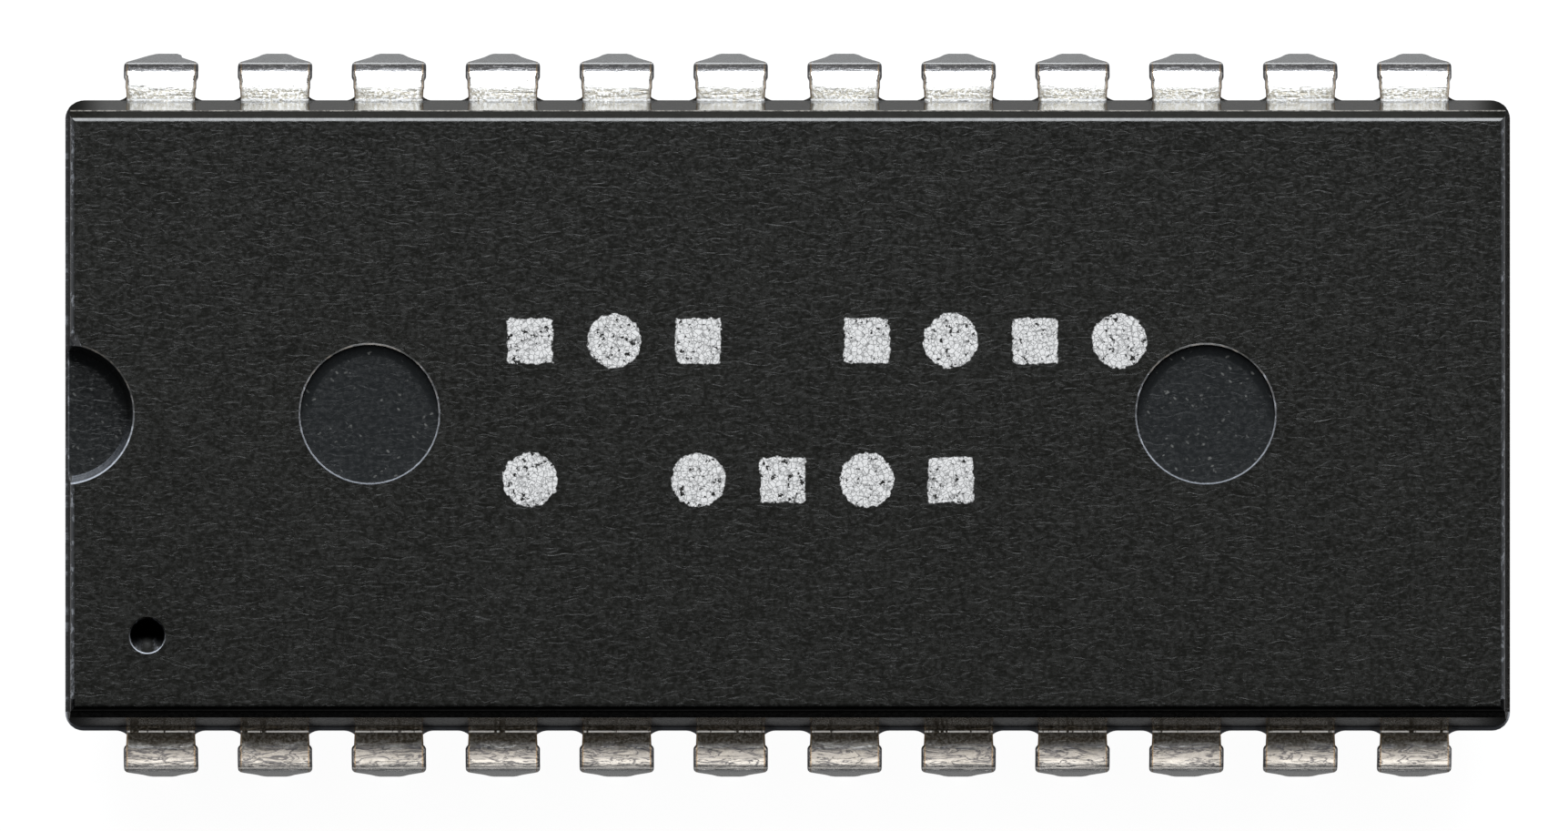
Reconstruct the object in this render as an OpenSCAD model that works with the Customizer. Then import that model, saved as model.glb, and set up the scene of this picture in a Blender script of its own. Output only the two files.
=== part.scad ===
// A dual in-line chip package: a moulded epoxy body on two rows of formed leads.
// +Z is up, +X runs along the body away from the notched end, and the origin is
// on the surface that the lead tips stand on, below the middle of the body.

/* [Body] */
// Leads along each long side
leads_per_side = 12; // [8:2:16]
// Spacing of the leads along a side
pitch = 2.54; // [2.3:0.01:2.9]
// Body past the centre line of the last lead, at each end
end_margin = 2.13; // [1.6:0.01:3]
// Width of the body at the parting line
body_w = 14.04; // [13:0.01:15]
// Height of the moulding above the parting line, and below it
half_h = 1.9; // [1.5:0.05:2.4]
// Corner radius of the body, seen from above
corner_r = 0.4; // [0.15:0.05:0.8]
// Draft of the long walls, in degrees
side_draft = 8.5; // [3:0.5:12]
// Draft of the end walls, in degrees
end_draft = 3.7; // [2:0.1:8]
// Run of the bevel along the long edges, seen from above
bevel_run = 0.19; // [0.1:0.01:0.35]
// Slope of that bevel, in degrees
bevel_slope = 60; // [45:1:70]
// Radius of the edges round the top and bottom faces
edge_r = 0.12; // [0.04:0.01:0.2]
// How far the upper half of the moulding sits off the lower one
mould_shift = 0.04; // [0:0.01:0.1]
// Width of the thin rim of flash left along the parting line
flash_w = 0.03; // [0.01:0.01:0.08]
// Thickness of that rim
flash_t = 0.05; // [0.02:0.01:0.12]
// Length of the web of flash beside a lead
web_l = 0.24; // [0.2:0.02:0.45]
// How far that web stands out along the lead
web_h = 0.09; // [0.05:0.01:0.2]

/* [Marks in the body] */
// Radius of the notch at the top of its wall
notch_r = 1.55; // [0.8:0.05:2]
// Depth of the notch
notch_depth = 1.3; // [0.4:0.05:1.6]
// Draft of the notch wall, in degrees
notch_draft = 7; // [2:1:12]
// Diameter of the dimple beside the first lead
dimple_d = 0.82; // [0.5:0.02:1.2]
// Depth of the dimple
dimple_depth = 0.36; // [0.1:0.02:0.5]
// Middle of the dimple from the notched end
dimple_from_end = 1.86; // [1.2:0.02:3]
// Middle of the dimple from the side of the body
dimple_from_side = 2.1; // [1.4:0.02:4]
// Diameter of the ejector pin marks
ejector_d = 3.08; // [1.5:0.02:4]
// Depth of the ejector pin marks
ejector_depth = 0.17; // [0.05:0.01:0.4]
// Middle of an ejector pin mark from the end of the body
ejector_from_end = 6.8; // [5:0.1:8]
// Height of the burr round an ejector pin mark
burr_h = 0.02; // [0.01:0.01:0.06]
// Size of the chip knocked off the lip of the notch
chip_size = 0.16; // [0.05:0.01:0.3]
// Size of the nick in the end wall below the notch
nick_size = 0.12; // [0.05:0.01:0.2]

/* [Leads] */
// Thickness of the lead frame
lead_t = 0.25; // [0.15:0.01:0.35]
// Width of a lead where it leaves the body
neck_w = 1.52; // [1:0.01:1.6]
// Length of that neck
neck_l = 0.26; // [0.1:0.01:0.35]
// Width of a lead over its bend
bend_w = 1.58; // [1.2:0.01:1.7]
// Distance from the body to the stubs of the cut dam bar
dam_l = 0.56; // [0.45:0.01:0.7]
// Width of a lead over those stubs
shoulder_w = 1.66; // [1.3:0.01:1.9]
// Distance from the body to the outside of the bend
lead_reach = 0.89; // [0.8:0.01:1.3]
// Inside radius of the bend
bend_r = 0.4; // [0.25:0.01:0.5]
// Splay of the legs below the bend, in degrees
splay = 5.5; // [0:0.1:10]
// Straight part of the leg at full width, below the bend
shoulder_l = 0.25; // [0.1:0.05:0.6]
// Radius where that part starts to narrow
shoulder_round = 0.3; // [0.1:0.05:0.5]
// Radius where the taper meets the tip
taper_round = 0.8; // [0.3:0.1:1]
// Width of a lead tip
tip_w = 0.46; // [0.35:0.01:0.6]
// Length of a tip below the seating plane
tip_l = 3.2; // [2:0.1:4]
// Chamfer at the end of a tip
tip_chamfer = 0.1; // [0.02:0.01:0.18]
// Gap between the seating plane and the underside of the body
standoff = 0.5; // [0.3:0.05:1]
// How far the tip of the one bent lead leans toward the middle
bent_tip_lean = 0.1; // [0:0.02:0.3]

/* [Lead frame inside the body] */
// Length of the wide root of a lead inside the wall
root_l = 1.6; // [1.3:0.05:2.2]
// Width of the root at its inner end
root_w = 1.2; // [0.8:0.05:1.4]
// Diameter of the locking hole through the root
lock_d = 0.6; // [0.3:0.05:0.8]
// Width of a finger at its inner end
finger_w = 0.34; // [0.2:0.01:0.4]
// Gap between the die pad and the fingers round it
finger_gap = 0.3; // [0.2:0.01:0.5]
// Straight run of a finger before its tip
finger_run = 0.45; // [0.35:0.05:0.8]
// Spacing of the fingertips along the sides of the die pad
side_tip_pitch = 1.3; // [1:0.05:1.4]
// Spacing of the fingertips along the ends of the die pad
end_tip_pitch = 0.55; // [0.5:0.01:0.6]
// Length of the die pad
pad_l = 5.8; // [5.2:0.1:6.4]
// Width of the die pad
pad_w = 4.8; // [4.4:0.1:5.4]
// Corner radius of the die pad
pad_corner_r = 0.25; // [0.05:0.05:0.5]
// Width of the two bars that held the die pad in its frame
tie_w = 0.5; // [0.3:0.05:0.7]

/* [Die and bond wires] */
// Length of the silicon die
die_l = 3.8; // [2.5:0.1:4.6]
// Width of the silicon die
die_w = 3.2; // [2.2:0.1:4]
// Thickness of the silicon die
die_t = 0.3; // [0.2:0.01:0.5]
// Thickness of the glue under the die
glue_t = 0.03; // [0.02:0.01:0.06]
// How far the glue squeezes out round the die
glue_margin = 0.12; // [0.05:0.01:0.2]
// Distance from the edge of the die to the middle of its bond pads
bond_inset = 0.12; // [0.08:0.01:0.2]
// Diameter of a bond wire
wire_d = 0.03; // [0.02:0.005:0.05]
// Diameter of the ball that starts a wire
ball_d = 0.08; // [0.06:0.01:0.1]
// Height of that ball
ball_h = 0.02; // [0.01:0.005:0.04]
// Angle at which a wire leaves its ball, up from the die
wire_leave = 36; // [20:1:50]
// Distance from a fingertip's end to the foot of its wire
wire_foot = 0.25; // [0.15:0.01:0.3]

/* [Hidden] */
$fn = 48;
// Straight steps in a corner that is rounded point by point
arc_steps = 6;
// Straight steps in the bend of a lead
bend_steps = 24;
// Cutting shapes run this far past what they cut
past = 1;

lead_count = 2 * leads_per_side;
quarter_leads = leads_per_side / 2;
// Fingers of each quarter that end along the side of the die pad
side_fingers = 2;
// The lead whose tip leans, the last one on the notched end
bent_lead = lead_count;

body_l = (leads_per_side - 1) * pitch + 2 * end_margin;
seating_z = tip_l;
underside_z = seating_z + standoff;
lead_z = underside_z + half_h;
top_z = lead_z + half_h;
wall_y = body_w / 2;

// Middle of the metal's thickness round the bend
bend_middle_r = bend_r + lead_t / 2;
bend_y = wall_y + lead_reach - bend_r - lead_t;
bend_z = lead_z - bend_middle_r;

frame_top_z = lead_z + lead_t / 2;
die_z = frame_top_z + glue_t;
die_top_z = die_z + die_t;

body_color = [0.15, 0.15, 0.145];
tin_color = [0.78, 0.78, 0.76];
copper_color = [0.8, 0.52, 0.36];
glue_color = [0.75, 0.75, 0.72];
silicon_color = [0.35, 0.37, 0.42];
gold_color = [0.9, 0.72, 0.3];

function two_digits(k) = str(k < 10 ? "0" : "", k);
function lead_name(k) = str("lead_", two_digits(k));
function wire_name(k) = str("bond_wire_", two_digits(k));

// Vectors and outlines

function unit(v) = v / norm(v);
function left_of(v) = [-v.y, v.x];
function between(a, b, share) = a + (b - a) * share;

// The arc of radius r that rounds corner b of the path a, b, c
function corner_arc(a, b, c, r) =
    let (to_a = unit(a - b), to_c = unit(c - b), half = acos(to_a * to_c) / 2)
    let (centre = b + unit(to_a + to_c) * r / sin(half))
    let (first = b + to_a * r / tan(half), last = b + to_c * r / tan(half))
    [for (i = [0 : arc_steps]) centre + r * unit(between(first, last, i / arc_steps) - centre)];

// A closed outline with each corner rounded by its own radius, or left sharp at 0
function rounded(points, radii) =
    let (n = len(points))
    [for (i = [0 : n - 1]) each radii[i] == 0 ? [points[i]]
        : corner_arc(points[(i + n - 1) % n], points[i], points[(i + 1) % n], radii[i])];

function heading(path, i) = unit(path[i + 1] - path[i]);

// The sideways step of a strip at point i of its path, mitred where the path turns
function miter(path, i) =
    let (before = left_of(heading(path, max(i - 1, 0))))
    let (after = left_of(heading(path, min(i, len(path) - 2))))
    (before + after) / (1 + before * after);

// A flat strip along a path, with its own width at each point
function strip(path, widths) =
    let (last = len(path) - 1)
    concat(
        [for (i = [0 : last]) path[i] + miter(path, i) * widths[i] / 2],
        [for (i = [last : -1 : 0]) path[i] - miter(path, i) * widths[i] / 2]
    );

module box_between(low, high) {
    translate(low) cube(high - low);
}

// Leads are numbered anticlockwise from above, from the dimple beside the notch.
// Each one is drawn in the quarter where X and Y are positive, then mirrored.

function on_front(k) = k <= leads_per_side;
function column(k) = on_front(k) ? k - 1 : lead_count - k;
function on_left(k) = column(k) < quarter_leads;
function place_in_quarter(k) = on_left(k) ? quarter_leads - 1 - column(k) : column(k) - quarter_leads;

module mirror_when(wanted, direction) {
    if (wanted) mirror(direction) children();
    else children();
}

module in_its_quarter(k) {
    mirror_when(on_left(k), [1, 0, 0]) mirror_when(on_front(k), [0, 1, 0]) children();
}

function lead_x(j) = (j + 0.5) * pitch;
function ends_at_side(j) = j < side_fingers;
// Fingers are counted along the end of the die pad from the tie bar outward
function end_place(j) = quarter_leads - 1 - j;
function fingertip(j) = ends_at_side(j)
    ? [(j + 0.5) * side_tip_pitch, pad_w / 2 + finger_gap]
    : [pad_l / 2 + finger_gap, tie_w / 2 + finger_gap + finger_w / 2 + end_place(j) * end_tip_pitch];
// The way that a finger points back from its tip
function finger_back(j) = ends_at_side(j) ? [0, 1] : [1, 0];
function run_length(j) = ends_at_side(j)
    ? finger_run
    : finger_run + (j - side_fingers) * (pitch - end_tip_pitch);

function finger_path(j) = [
    [lead_x(j), wall_y],
    [lead_x(j), wall_y - root_l],
    fingertip(j) + finger_back(j) * run_length(j),
    fingertip(j)
];

// The flat part of a lead that the body is moulded round
module lead_inside(j) {
    translate([0, 0, lead_z - lead_t / 2]) linear_extrude(lead_t) difference() {
        polygon(strip(finger_path(j), [neck_w, root_w, finger_w, finger_w]));
        translate([lead_x(j), wall_y - root_l / 2]) circle(d = lock_d);
    }
}

// Where a neck passes the half of the moulding that is shifted out over it
module neck_slot(j) {
    translate([lead_x(j) - neck_w / 2, wall_y, lead_z - lead_t / 2]) cube([neck_w, neck_l, lead_t]);
}

// Middle line of the formed lead, seen along the body: neck, bend, splayed leg and tip
bend_line = [for (i = [0 : bend_steps])
    let (turned = 90 - i / bend_steps * (90 - splay))
    [bend_y, bend_z] + bend_middle_r * [cos(turned), sin(turned)]];
leg_top = bend_line[bend_steps];
leg_kink = [leg_top.x + (leg_top.y - seating_z) * tan(splay), seating_z];
lead_line = concat([[wall_y, lead_z]], bend_line, [leg_kink, [leg_kink.x, 0]]);

// Width of the formed lead, seen from the side of the body
module lead_front_view(lean) {
    shoulder_z = leg_top.y - shoulder_l;
    half = shoulder_w / 2;
    tip = tip_w / 2;
    top = lead_z + past;
    polygon(rounded(
        [
            [half, top], [half, shoulder_z], [tip, seating_z], [tip + lean, tip_chamfer],
            [tip + lean - tip_chamfer, 0], [lean - tip + tip_chamfer, 0],
            [lean - tip, tip_chamfer], [-tip, seating_z], [-half, shoulder_z], [-half, top]
        ],
        [0, shoulder_round, taper_round, 0, 0, 0, 0, taper_round, shoulder_round, 0]
    ));
}

// Width of the formed lead, seen from above: neck, bend, then the stubs of the dam bar
module lead_top_view() {
    translate([-neck_w / 2, wall_y]) square([neck_w, neck_l]);
    translate([-bend_w / 2, wall_y + neck_l]) square([bend_w, dam_l - neck_l]);
    translate([-shoulder_w / 2, wall_y + dam_l]) square([shoulder_w, lead_reach + past]);
}

module lead_outside(j, lean) {
    depth = wall_y + lead_reach + past;
    translate([lead_x(j), 0, 0]) intersection() {
        translate([-shoulder_w / 2, 0, 0]) rotate([90, 0, 90]) linear_extrude(shoulder_w)
            polygon(strip(lead_line, [for (point = lead_line) lead_t]));
        translate([0, depth, 0]) rotate([90, 0, 0]) linear_extrude(depth) lead_front_view(lean);
        linear_extrude(lead_z + past) lead_top_view();
    }
}

module lead(k) {
    j = place_in_quarter(k);
    lean = k == bent_lead ? -bent_tip_lean : 0;
    color(tin_color) in_its_quarter(k) {
        lead_inside(j);
        lead_outside(j, lean);
    }
}

// Body

wall_h = half_h - bevel_run * tan(bevel_slope);
wall_run = wall_h * tan(side_draft);

// End view of one half of the moulding, above the parting line
module side_profile() {
    foot = wall_y - flash_w;
    shoulder = foot - wall_run;
    crest = shoulder - bevel_run;
    polygon(rounded(
        [[foot, 0], [shoulder, wall_h], [crest, half_h], [-crest, half_h], [-shoulder, wall_h], [-foot, 0]],
        [0, 0, edge_r, edge_r, 0, 0]
    ));
}

// Side view of one half of the moulding
module end_profile() {
    foot = body_l / 2 - flash_w;
    crest = foot - half_h * tan(end_draft);
    polygon(rounded(
        [[foot, 0], [crest, half_h], [-crest, half_h], [-foot, 0]],
        [0, edge_r, edge_r, 0]
    ));
}

module rounded_plan(length, width, r) {
    polygon(rounded(
        [[length, width] / 2, [-length, width] / 2, [-length, -width] / 2, [length, -width] / 2],
        [r, r, r, r]
    ));
}

module moulded_half() {
    intersection() {
        translate([-body_l / 2, 0, 0]) rotate([90, 0, 90]) linear_extrude(body_l) side_profile();
        translate([0, body_w / 2, 0]) rotate([90, 0, 0]) linear_extrude(body_w) end_profile();
        linear_extrude(half_h) rounded_plan(body_l - 2 * flash_w, body_w - 2 * flash_w, corner_r);
    }
}

// A small web of flash in the corner between the body and a lead, with a hollow edge
module flash_web() {
    hollow_r = (web_l * web_l + web_h * web_h) / (2 * web_h);
    difference() {
        translate([0, -flash_w]) square([web_l, web_h + flash_w]);
        translate([web_l, hollow_r]) circle(hollow_r, $fn = 96);
    }
}

module parting_flash() {
    translate([0, 0, lead_z - flash_t / 2]) linear_extrude(flash_t) rounded_plan(body_l, body_w, corner_r);
    for (k = [1 : lead_count]) in_its_quarter(k) {
        translate([lead_x(place_in_quarter(k)), wall_y, lead_z - flash_t]) {
            translate([neck_w / 2, 0, 0]) linear_extrude(2 * flash_t) flash_web();
            mirror([1, 0, 0]) translate([neck_w / 2, 0, 0]) linear_extrude(2 * flash_t) flash_web();
        }
    }
}

module notch() {
    translate([-body_l / 2, mould_shift, top_z - notch_depth])
        cylinder(h = notch_depth + past, r1 = notch_r - notch_depth * tan(notch_draft),
            r2 = notch_r + past * tan(notch_draft));
}

module dimple() {
    r = dimple_d / 2;
    ball_r = (r * r + dimple_depth * dimple_depth) / (2 * dimple_depth);
    translate([dimple_from_end - body_l / 2, mould_shift + dimple_from_side - wall_y, top_z + ball_r - dimple_depth])
        sphere(ball_r);
}

module at_ejectors() {
    for (side = [-1, 1]) translate([side * (body_l / 2 - ejector_from_end), mould_shift, 0]) children();
}

// The low burr that stands round an ejector pin mark
module ejector_burr() {
    rotate_extrude() translate([ejector_d / 2, 0]) polygon([[0, -burr_h], [0, burr_h], [2 * burr_h, 0], [2 * burr_h, -burr_h]]);
}

module body_outside() {
    translate([0, mould_shift, lead_z]) moulded_half();
    translate([0, 0, lead_z]) mirror([0, 0, 1]) moulded_half();
    parting_flash();
    at_ejectors() translate([0, 0, top_z]) ejector_burr();
}

module body() {
    color(body_color) difference() {
        body_outside();
        notch();
        dimple();
        at_ejectors() {
            translate([0, 0, top_z - ejector_depth]) cylinder(h = ejector_depth + past, d = ejector_d);
            translate([0, 0, underside_z - past]) cylinder(h = ejector_depth + past, d = ejector_d);
        }
        notch_chip();
        wall_nick();
        for (j = [0 : quarter_leads - 1]) all_quarters() {
            lead_inside(j);
            neck_slot(j);
            wire_channel(j);
        }
        die_pad();
        die_attach();
        die();
    }
}

// A chip off the lip of the notch, where it meets the end wall
module notch_chip() {
    translate([-body_l / 2 + chip_size, mould_shift + notch_r, top_z])
        rotate([0, 40, 20]) cube(2 * chip_size, center = true);
}

// A slanting nick across the end wall
module wall_nick() {
    translate([-body_l / 2, -wall_y / 2 + nick_size, lead_z + half_h / 2])
        rotate([35, 0, 0]) rotate([0, 0, 45]) cube([nick_size, nick_size, half_h], center = true);
}

module all_quarters() {
    for (left = [false, true], front = [false, true])
        mirror_when(left, [1, 0, 0]) mirror_when(front, [0, 1, 0]) children();
}

// What the body holds

module die_pad() {
    color(copper_color) translate([0, 0, lead_z - lead_t / 2]) linear_extrude(lead_t) {
        rounded_plan(pad_l, pad_w, pad_corner_r);
        square([body_l - 2 * flash_w, tie_w], center = true);
    }
}

module die_attach() {
    color(glue_color) translate([0, 0, frame_top_z]) linear_extrude(glue_t)
        rounded_plan(die_l + 2 * glue_margin, die_w + 2 * glue_margin, glue_margin);
}

module die() {
    color(silicon_color)
        box_between([-die_l / 2, -die_w / 2, die_z], [die_l / 2, die_w / 2, die_top_z]);
}

// Middle of the bond pad on the die for the finger at place j
function bond_pad(j) = ends_at_side(j)
    ? [(j + 0.5) * (die_l / 2 - bond_inset) / side_fingers, die_w / 2 - bond_inset]
    : [die_l / 2 - bond_inset,
        (end_place(j) + 0.5) * (die_w / 2 - bond_inset) / (quarter_leads - side_fingers)];

// A ball on top of the die, at the origin, and the one arc of a bond wire that leaves it for a finger.
// The ball starts below the die's face by sink, and the arc runs on a little into the finger.
module ball_and_arc(span, drop, sink) {
    fall = drop + ball_h;
    chord_turn = wire_leave + atan(fall / span);
    r = norm([span, fall]) / (2 * sin(chord_turn));
    spare_turn = 2 * wire_d / r * 180 / PI;
    turn = 2 * chord_turn + spare_turn;
    translate([0, 0, -sink]) cylinder(h = sink + ball_h, d = ball_d);
    translate([r * sin(wire_leave), 0, ball_h - r * cos(wire_leave)])
        rotate([90, 0, 0]) rotate([0, 0, 90 + wire_leave - turn])
        rotate_extrude(angle = turn) translate([r, 0]) circle(d = wire_d);
}

// The wire itself, cut off level with the finger's face
module trimmed_wire(span, drop) {
    difference() {
        ball_and_arc(span, drop, 0);
        box_between([span / 2, -past, -drop - past], [span + past, past, -drop]);
    }
}

function wire_way(j) = fingertip(j) + finger_back(j) * wire_foot - bond_pad(j);
wire_drop = die_top_z - frame_top_z;

module at_bond_pad(j) {
    way = wire_way(j);
    translate([bond_pad(j).x, bond_pad(j).y, die_top_z]) rotate([0, 0, atan2(way.y, way.x)]) children();
}

// The channel that the epoxy leaves round a wire, open to the die and to the finger
module wire_channel(j) {
    at_bond_pad(j) ball_and_arc(norm(wire_way(j)), wire_drop, ball_h);
}

module bond_wire(k) {
    j = place_in_quarter(k);
    color(gold_color) in_its_quarter(k) at_bond_pad(j) trimmed_wire(norm(wire_way(j)), wire_drop);
}

body();
for (k = [1 : lead_count]) lead(k);
die_pad();
die_attach();
die();
for (k = [1 : lead_count]) bond_wire(k);
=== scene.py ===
import math

import bpy
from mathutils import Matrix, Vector


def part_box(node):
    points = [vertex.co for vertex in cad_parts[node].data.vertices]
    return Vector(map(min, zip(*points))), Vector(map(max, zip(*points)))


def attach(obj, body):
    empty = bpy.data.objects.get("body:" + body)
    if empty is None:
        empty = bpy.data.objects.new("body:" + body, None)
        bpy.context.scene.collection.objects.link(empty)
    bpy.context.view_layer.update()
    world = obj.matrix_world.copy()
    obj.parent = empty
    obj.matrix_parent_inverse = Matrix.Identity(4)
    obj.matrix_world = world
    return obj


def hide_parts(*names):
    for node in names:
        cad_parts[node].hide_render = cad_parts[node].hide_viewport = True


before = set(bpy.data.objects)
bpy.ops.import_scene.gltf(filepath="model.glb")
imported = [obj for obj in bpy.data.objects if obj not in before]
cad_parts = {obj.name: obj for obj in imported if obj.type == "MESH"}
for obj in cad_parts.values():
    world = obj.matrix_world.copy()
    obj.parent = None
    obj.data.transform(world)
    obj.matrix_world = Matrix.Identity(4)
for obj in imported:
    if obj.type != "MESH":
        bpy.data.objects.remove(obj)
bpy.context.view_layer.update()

mm = 0.001      # the settings are in millimetres, those of the studio and its lamps in metres
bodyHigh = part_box("body")[1]
leadNames = sorted(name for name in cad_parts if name.startswith("lead_"))
wireNames = sorted(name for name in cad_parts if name.startswith("bond_wire_"))
print("frame loaded:", len(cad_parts), "nodes")


# Camera: straight above the body, so far away that it hardly sees the sides
camera = {
    "x": -0.081,
    "y": 0.004,
    "planeZ": 5.6,        # height where the picture's scale was measured
    "distance": 800.0,
    "widthSeen": 34.95,
    "sensor": 36.0,
}
cameraData = bpy.data.cameras.new("camera")
cameraData.sensor_width = camera["sensor"]
cameraData.lens = camera["sensor"] * camera["distance"] / camera["widthSeen"]
cameraObject = bpy.data.objects.new("camera", cameraData)
cameraObject.location = Vector((camera["x"], camera["y"], camera["planeZ"] + camera["distance"])) * mm
bpy.context.scene.collection.objects.link(cameraObject)
bpy.context.scene.camera = cameraObject
bpy.context.scene.view_settings.view_transform = "Standard"
print("camera set, lens", round(cameraData.lens), "mm")


# Node helpers

def newNode(tree, kind, inputs=None, **settings):
    node = tree.nodes.new("ShaderNode" + kind)
    count = len(tree.nodes)
    node.location = (220 * (count // 5), -260 * (count % 5))
    for name, value in settings.items():
        setattr(node, name, value)
    for name, value in (inputs or {}).items():
        if isinstance(value, bpy.types.NodeSocket):
            tree.links.new(value, node.inputs[name])
        else:
            node.inputs[name].default_value = value
    return node


def calc(tree, operation, a, b=0.0, c=0.0):
    return newNode(tree, "Math", {0: a, 1: b, 2: c}, operation=operation).outputs[0]


def product(tree, value, *factors):
    for factor in factors:
        value = calc(tree, "MULTIPLY", value, factor)
    return value


def largest(tree, value, *others):
    for other in others:
        value = calc(tree, "MAXIMUM", value, other)
    return value


# start where the mask is 0, end where it is 1
def blend(tree, mask, start, end):
    return calc(tree, "MULTIPLY_ADD", mask, end - start, start)


def ramp(tree, value, low, high, toLow=0.0, toHigh=1.0):
    inputs = {"Value": value, "From Min": low, "From Max": high, "To Min": toLow, "To Max": toHigh}
    return newNode(tree, "MapRange", inputs, interpolation_type="SMOOTHSTEP").outputs["Result"]


# 1 within full of the centre, fading to 0 at gone
def lineAt(tree, value, centre, full, gone):
    off = calc(tree, "ABSOLUTE", calc(tree, "SUBTRACT", value, centre))
    return ramp(tree, off, full, gone, 1.0, 0.0)


def mixColour(tree, factor, a, b):
    node = newNode(tree, "Mix", data_type="RGBA")
    for socket, value in ((node.inputs[0], factor), (node.inputs[6], a), (node.inputs[7], b)):
        if isinstance(value, bpy.types.NodeSocket):
            tree.links.new(value, socket)
        else:
            socket.default_value = (*value, 1) if isinstance(value, tuple) else value
    return node.outputs[2]


def stretched(tree, position, scale, turn=(0, 0, 0)):
    return newNode(tree, "Mapping", {"Vector": position, "Scale": scale, "Rotation": turn}).outputs[0]


# Noise by its settings, spread over a range where they name one
def noise(tree, position, look):
    if "stretch" in look:
        position = stretched(tree, position, look["stretch"], look.get("turn", (0, 0, 0)))
    inputs = {"Vector": position, "Scale": look["scale"], "Detail": look["detail"],
              "Roughness": look.get("roughness", 0.5), "Distortion": look.get("distortion", 0.0)}
    value = newNode(tree, "TexNoise", inputs).outputs["Fac"]
    return ramp(tree, value, *look["range"]) if "range" in look else value


def newGroup(name, inputs, outputs):
    group = bpy.data.node_groups.new(name, "ShaderNodeTree")
    for socketName, kind in inputs:
        group.interface.new_socket(socketName, in_out="INPUT", socket_type="NodeSocket" + kind)
    for socketName in outputs:
        group.interface.new_socket(socketName, in_out="OUTPUT", socket_type="NodeSocketFloat")
    entry = group.nodes.new("NodeGroupInput")
    leave = group.nodes.new("NodeGroupOutput")
    leave.location = (3000, 0)
    return group, entry.outputs, leave.inputs


def useGroup(tree, group, inputs):
    return newNode(tree, "Group", inputs, node_tree=group).outputs


def newMaterial(name, **shaderValues):
    material = bpy.data.materials.new(name)
    material.use_nodes = True
    tree = material.node_tree
    shader = tree.nodes["Principled BSDF"]
    shader.location = (3000, 0)
    tree.nodes["Material Output"].location = (3300, 0)
    for socketName, value in shaderValues.items():
        shader.inputs[socketName].default_value = value
    return material, tree, shader


def millimetres(tree):
    coordinates = newNode(tree, "TexCoord").outputs["Object"]
    scale = (1 / mm, 1 / mm, 1 / mm)
    return newNode(tree, "VectorMath", {0: coordinates, 1: scale}, operation="MULTIPLY").outputs[0]


def split(tree, vector):
    return newNode(tree, "SeparateXYZ", {"Vector": vector}).outputs


def bump(tree, height, distance, **under):
    inputs = {"Height": height, "Distance": distance * mm, **under}
    return newNode(tree, "Bump", inputs).outputs["Normal"]


# Shared effects

wrinkle = {
    "fold": {"scale": 6.0, "detail": 1.0, "roughness": 0.45, "distortion": 1.7,
             "stretch": (0.42, 1.0, 1.0)},
    "patch": {"scale": 4.0, "detail": 2.0, "stretch": (0.6, 1.2, 1.0)},
    "grain": {"scale": 12.0, "detail": 2.0},
    "ridge": (0.5, 0.0, 0.032),     # the fold's middle, and how far a stroke reaches from it
    "shown": (0.5, 0.62),           # where the patches let strokes through
    "grainShare": 0.18,
    "strokeShare": 0.10,
}


def makeWrinkles():
    group, given, out = newGroup("wrinkles", [("Position", "Vector"), ("Cover", "Float")],
                                 ["Strokes", "Height"])
    position = given["Position"]
    fold = noise(group, position, wrinkle["fold"])
    patch = calc(group, "ADD", noise(group, position, wrinkle["patch"]), given["Cover"])
    strokes = product(group, lineAt(group, fold, *wrinkle["ridge"]), ramp(group, patch, *wrinkle["shown"]))
    grain = noise(group, position, wrinkle["grain"])
    rough = calc(group, "MULTIPLY_ADD", grain, wrinkle["grainShare"], fold)
    group.links.new(strokes, out["Strokes"])
    group.links.new(calc(group, "MULTIPLY_ADD", strokes, wrinkle["strokeShare"], rough), out["Height"])
    return group


# How much of a rim's line is full, and how far inside its edge a mark begins
ringFades = {"line": (0.5, 1.0, 1.0, 0.0), "inside": (-0.03, 0.0, 1.0, 0.0)}


def makeRing():
    sockets = [("Position", "Vector"), ("Centre", "Vector"), ("Radius", "Float"), ("Width", "Float")]
    group, given, out = newGroup("ringLine", sockets, ["Line", "Inside", "Past"])
    flat = newNode(group, "VectorMath", {0: given["Position"], 1: (1, 1, 0)}, operation="MULTIPLY")
    reach = newNode(group, "VectorMath", {0: flat.outputs[0], 1: given["Centre"]}, operation="DISTANCE")
    past = calc(group, "SUBTRACT", reach.outputs["Value"], given["Radius"])
    line = calc(group, "DIVIDE", calc(group, "ABSOLUTE", past), given["Width"])
    group.links.new(ramp(group, line, *ringFades["line"]), out["Line"])
    group.links.new(ramp(group, past, *ringFades["inside"]), out["Inside"])
    group.links.new(past, out["Past"])
    return group


def makeSpecks():
    sockets = [("Position", "Vector"), ("Scale", "Float"), ("Size", "Float"), ("Share", "Float")]
    group, given, out = newGroup("specks", sockets, ["Mask"])
    cells = newNode(group, "TexVoronoi", {"Vector": given["Position"], "Scale": given["Scale"]})
    tint = newNode(group, "SeparateColor", {"Color": cells.outputs["Color"]}).outputs[0]
    chosen = calc(group, "LESS_THAN", tint, given["Share"])
    dot = calc(group, "LESS_THAN", cells.outputs["Distance"], given["Size"])
    group.links.new(product(group, chosen, dot), out["Mask"])
    return group


wrinkles = makeWrinkles()
ringLine = makeRing()
specks = makeSpecks()
print("shared effects made")


def ring(tree, position, centre, radius, width):
    inputs = {"Position": position, "Centre": centre, "Radius": radius, "Width": width}
    return useGroup(tree, ringLine, inputs)


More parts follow.
